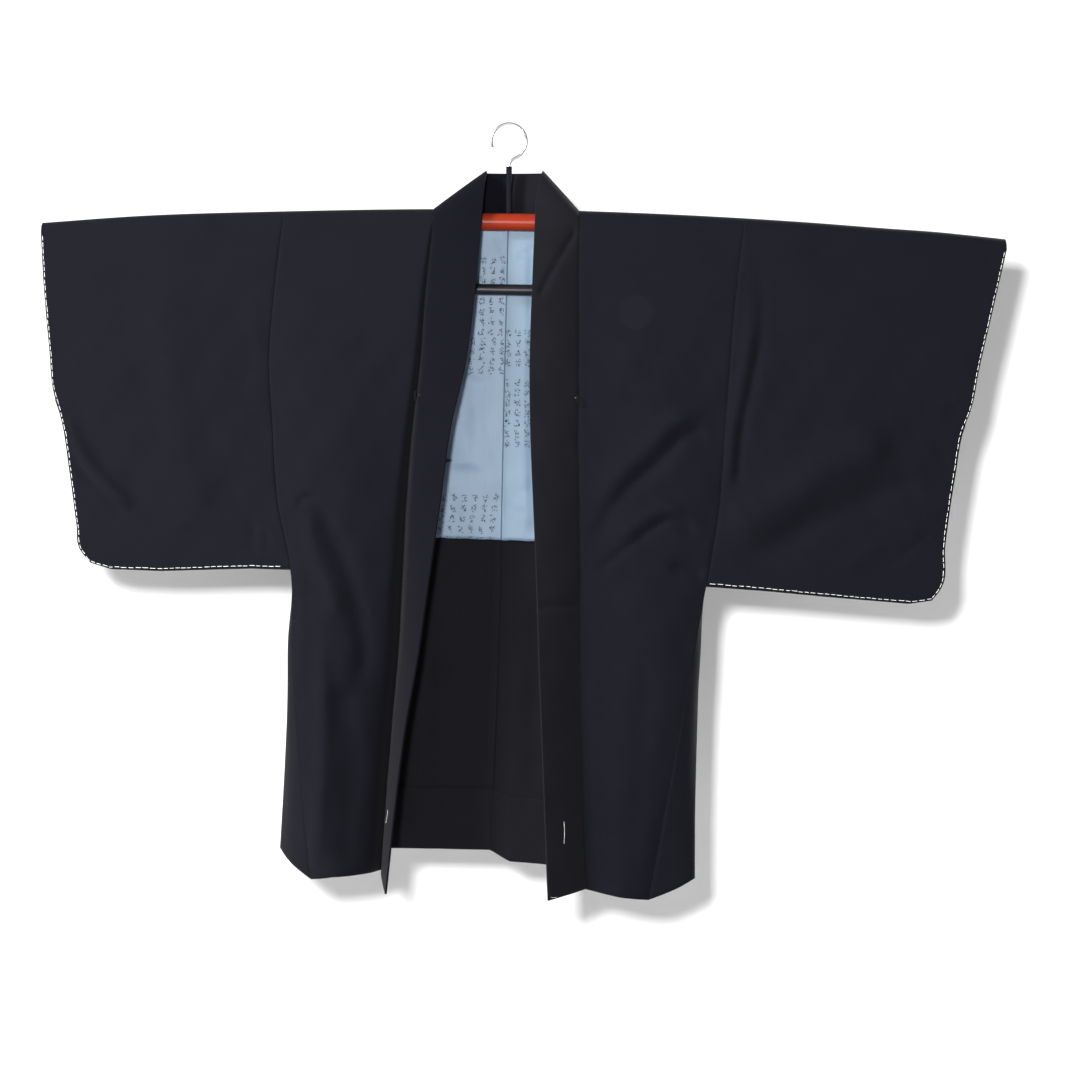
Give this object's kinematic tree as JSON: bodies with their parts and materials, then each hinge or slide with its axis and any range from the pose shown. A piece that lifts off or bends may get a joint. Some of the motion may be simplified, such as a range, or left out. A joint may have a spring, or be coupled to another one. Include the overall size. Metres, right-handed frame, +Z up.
{
  "type": "haori jacket on a kimono hanger",
  "caption": "Unlined men's haori jacket hanging flat on a straight kimono hanger, open front, square sleeves with open cuffs, pale shoulder lining.",
  "frame": {"origin": "inside top of the hanger's hook, where a rail holds it", "axes": "+Z up, +X to the wearer's left along the sleeves, -Y out of the jacket's front"},
  "size_m": [1.2881, 0.1362, 1.0368],
  "materials": {
    "cloth": "matt navy silk, plain weave",
    "band_cloth": "matt navy silk, folded double",
    "lining_cloth": "satin pale blue with small printed brush marks",
    "inner_cloth": "matt navy silk, inside face",
    "loop_cord": "matt navy silk cord",
    "orange_plastic": "glossy",
    "black_plastic": "glossy black",
    "steel_wire": "plain bright wire"
  },
  "bodies": {
    "root": {"band_left": "band_cloth", "band_right": "band_cloth", "body_left": "cloth", "body_right": "cloth", "gusset_left": "cloth", "gusset_right": "cloth", "hanger_arm_left": "black_plastic", "hanger_arm_right": "black_plastic", "hanger_bar": "black_plastic", "hanger_hook": "steel_wire", "hanger_link_left": "black_plastic", "hanger_link_right": "black_plastic", "hanger_post": "black_plastic", "hanger_tube": "orange_plastic", "hem_facing_left": "inner_cloth", "hem_facing_right": "inner_cloth", "lining_left": "lining_cloth", "lining_right": "lining_cloth", "seam_allowance": "inner_cloth", "sleeve_left": "cloth", "sleeve_right": "cloth", "tie_loop_left": "loop_cord", "tie_loop_right": "loop_cord"}
  },
  "joints": []
}
